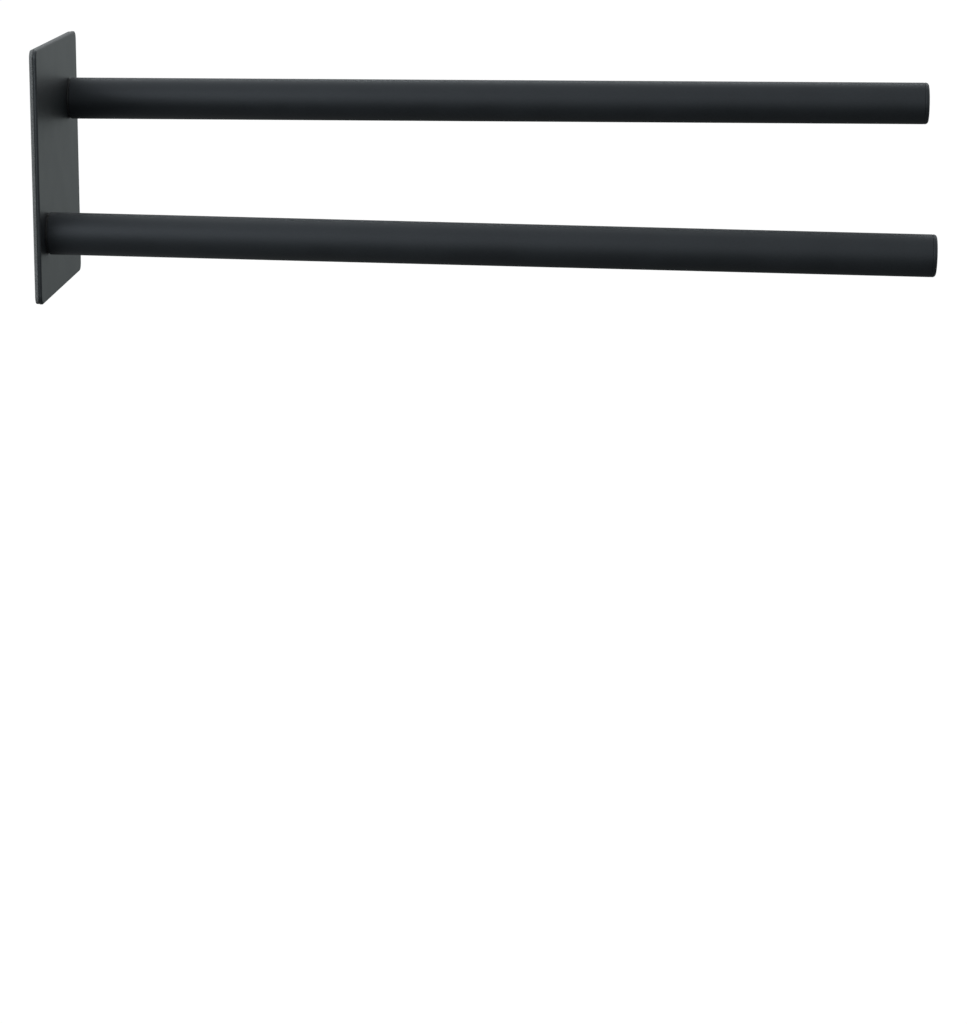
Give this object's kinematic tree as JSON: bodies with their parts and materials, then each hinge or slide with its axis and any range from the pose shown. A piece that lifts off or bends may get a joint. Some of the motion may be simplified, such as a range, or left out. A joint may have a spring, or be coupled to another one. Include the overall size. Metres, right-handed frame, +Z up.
{
  "type": "two-arm towel holder",
  "caption": "Thin upright wall plate with round straight arms standing out from it, staggered in height and side by side, so that a towel hangs over each and dries.",
  "frame": {"origin": "centre of the adhesive pad's back face, which lies on the wall", "axes": "+X away from the wall, along the upper arm; +Y along the wall, from the lower arm's side to the upper arm's side; +Z up"},
  "size_m": [0.4002, 0.11, 0.113],
  "materials": {
    "plate_black": "satin powder coat",
    "arm_black": "satin powder coat",
    "cap_black": "satin",
    "washer_black": "matt",
    "foam_grey": "matt foam",
    "zinc_steel": "zinc plated"
  },
  "bodies": {
    "root": {"wall_plate": "plate_black", "adhesive_pad": "foam_grey", "upper_root_washer": "washer_black", "lower_root_washer": "washer_black", "upper_arm_tube": "arm_black", "lower_arm_tube": "arm_black", "upper_arm_end_cap": "cap_black", "lower_arm_end_cap": "cap_black", "upper_arm_root_plug": "zinc_steel", "lower_arm_root_plug": "zinc_steel", "upper_arm_screw": "zinc_steel", "lower_arm_screw": "zinc_steel"}
  },
  "joints": []
}
